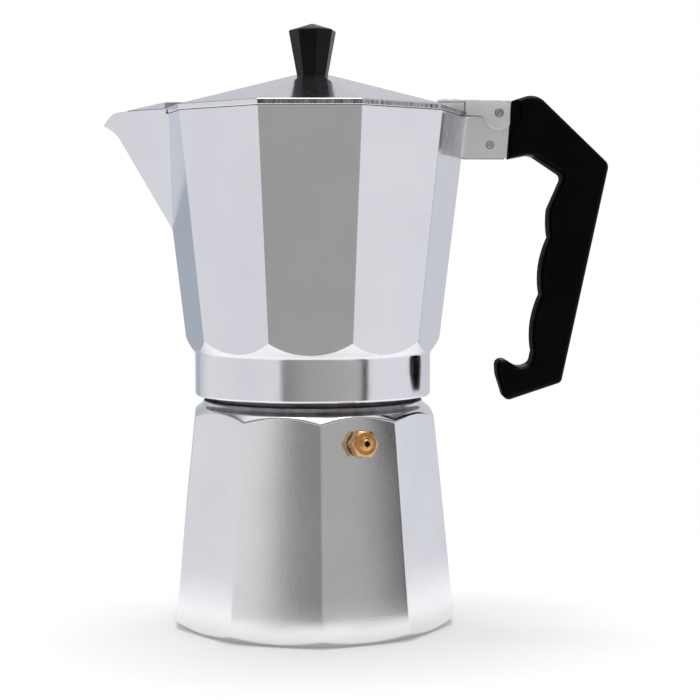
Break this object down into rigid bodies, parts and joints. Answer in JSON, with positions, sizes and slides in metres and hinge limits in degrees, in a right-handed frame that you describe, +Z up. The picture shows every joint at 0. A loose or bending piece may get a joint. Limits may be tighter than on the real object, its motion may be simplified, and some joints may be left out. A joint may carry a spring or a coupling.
{
  "type": "moka pot",
  "caption": "Ten-sided stove-top moka pot: boiler with safety valve, funnel, screw-on collector with beak spout, hinged lid with knob, angular handle.",
  "frame": {"origin": "centre of the boiler's flat base, on the pot's turning axis", "axes": "+Z up along the pot's axis; -X to the spout, +X to the handle"},
  "size_m": [0.2148, 0.1258, 0.2548],
  "materials": {
    "cast_aluminium": "satin",
    "polished_aluminium": "polished",
    "sheet_aluminium": "satin",
    "rivet_aluminium": "satin",
    "stainless": "brushed",
    "steel": "bright",
    "brass": "machined",
    "seal_rubber": "matt",
    "fibre": "matt",
    "black_plastic": "satin gloss"
  },
  "bodies": {
    "boiler": {"boiler": "cast_aluminium", "valve_body": "brass", "valve_washer": "fibre", "valve_seat": "brass", "valve_spring": "steel"},
    "valve_ball": {"valve_ball": "steel"},
    "funnel": {"funnel_cup": "sheet_aluminium", "funnel_stem": "sheet_aluminium", "funnel_screen": "sheet_aluminium"},
    "collector": {"collector": "polished_aluminium", "column": "cast_aluminium", "gasket": "seal_rubber", "filter_plate": "sheet_aluminium", "handle_bracket": "stainless", "bracket_rivets": "rivet_aluminium", "handle": "black_plastic", "handle_rivet": "stainless", "hinge_pin": "stainless"},
    "lid": {"lid": "polished_aluminium", "lid_hinge": "stainless", "lid_rivets": "rivet_aluminium", "knob": "black_plastic", "knob_screw": "steel", "knob_washer": "steel"}
  },
  "joints": [
    {"name": "collector_turn", "type": "hinge", "parent": "boiler", "child": "funnel", "pos_m": [0, 0, 0.1068], "axis": [0, 0, 1], "range_deg": [0, 1080]},
    {"name": "collector_lift", "type": "slide", "parent": "funnel", "child": "collector", "axis": [0, 0, 1], "range_m": [0, 0.0102]},
    {"name": "lid_hinge", "type": "hinge", "parent": "collector", "child": "lid", "pos_m": [0.0791, 0, 0.2169], "axis": [0, 1, 0], "range_deg": [0, 105]},
    {"name": "valve_ball_slide", "type": "slide", "parent": "boiler", "child": "valve_ball", "axis": [0.3808, -0.9193, 0.0993], "range_m": [0, 0.0012], "stiffness_N_per_m": 800, "springref_m": -0.002, "deforming": ["valve_spring"]}
  ],
  "couplings": [
    {"joint": "collector_lift", "follows": "collector_turn", "m_per_rad": 0.0005411}
  ]
}
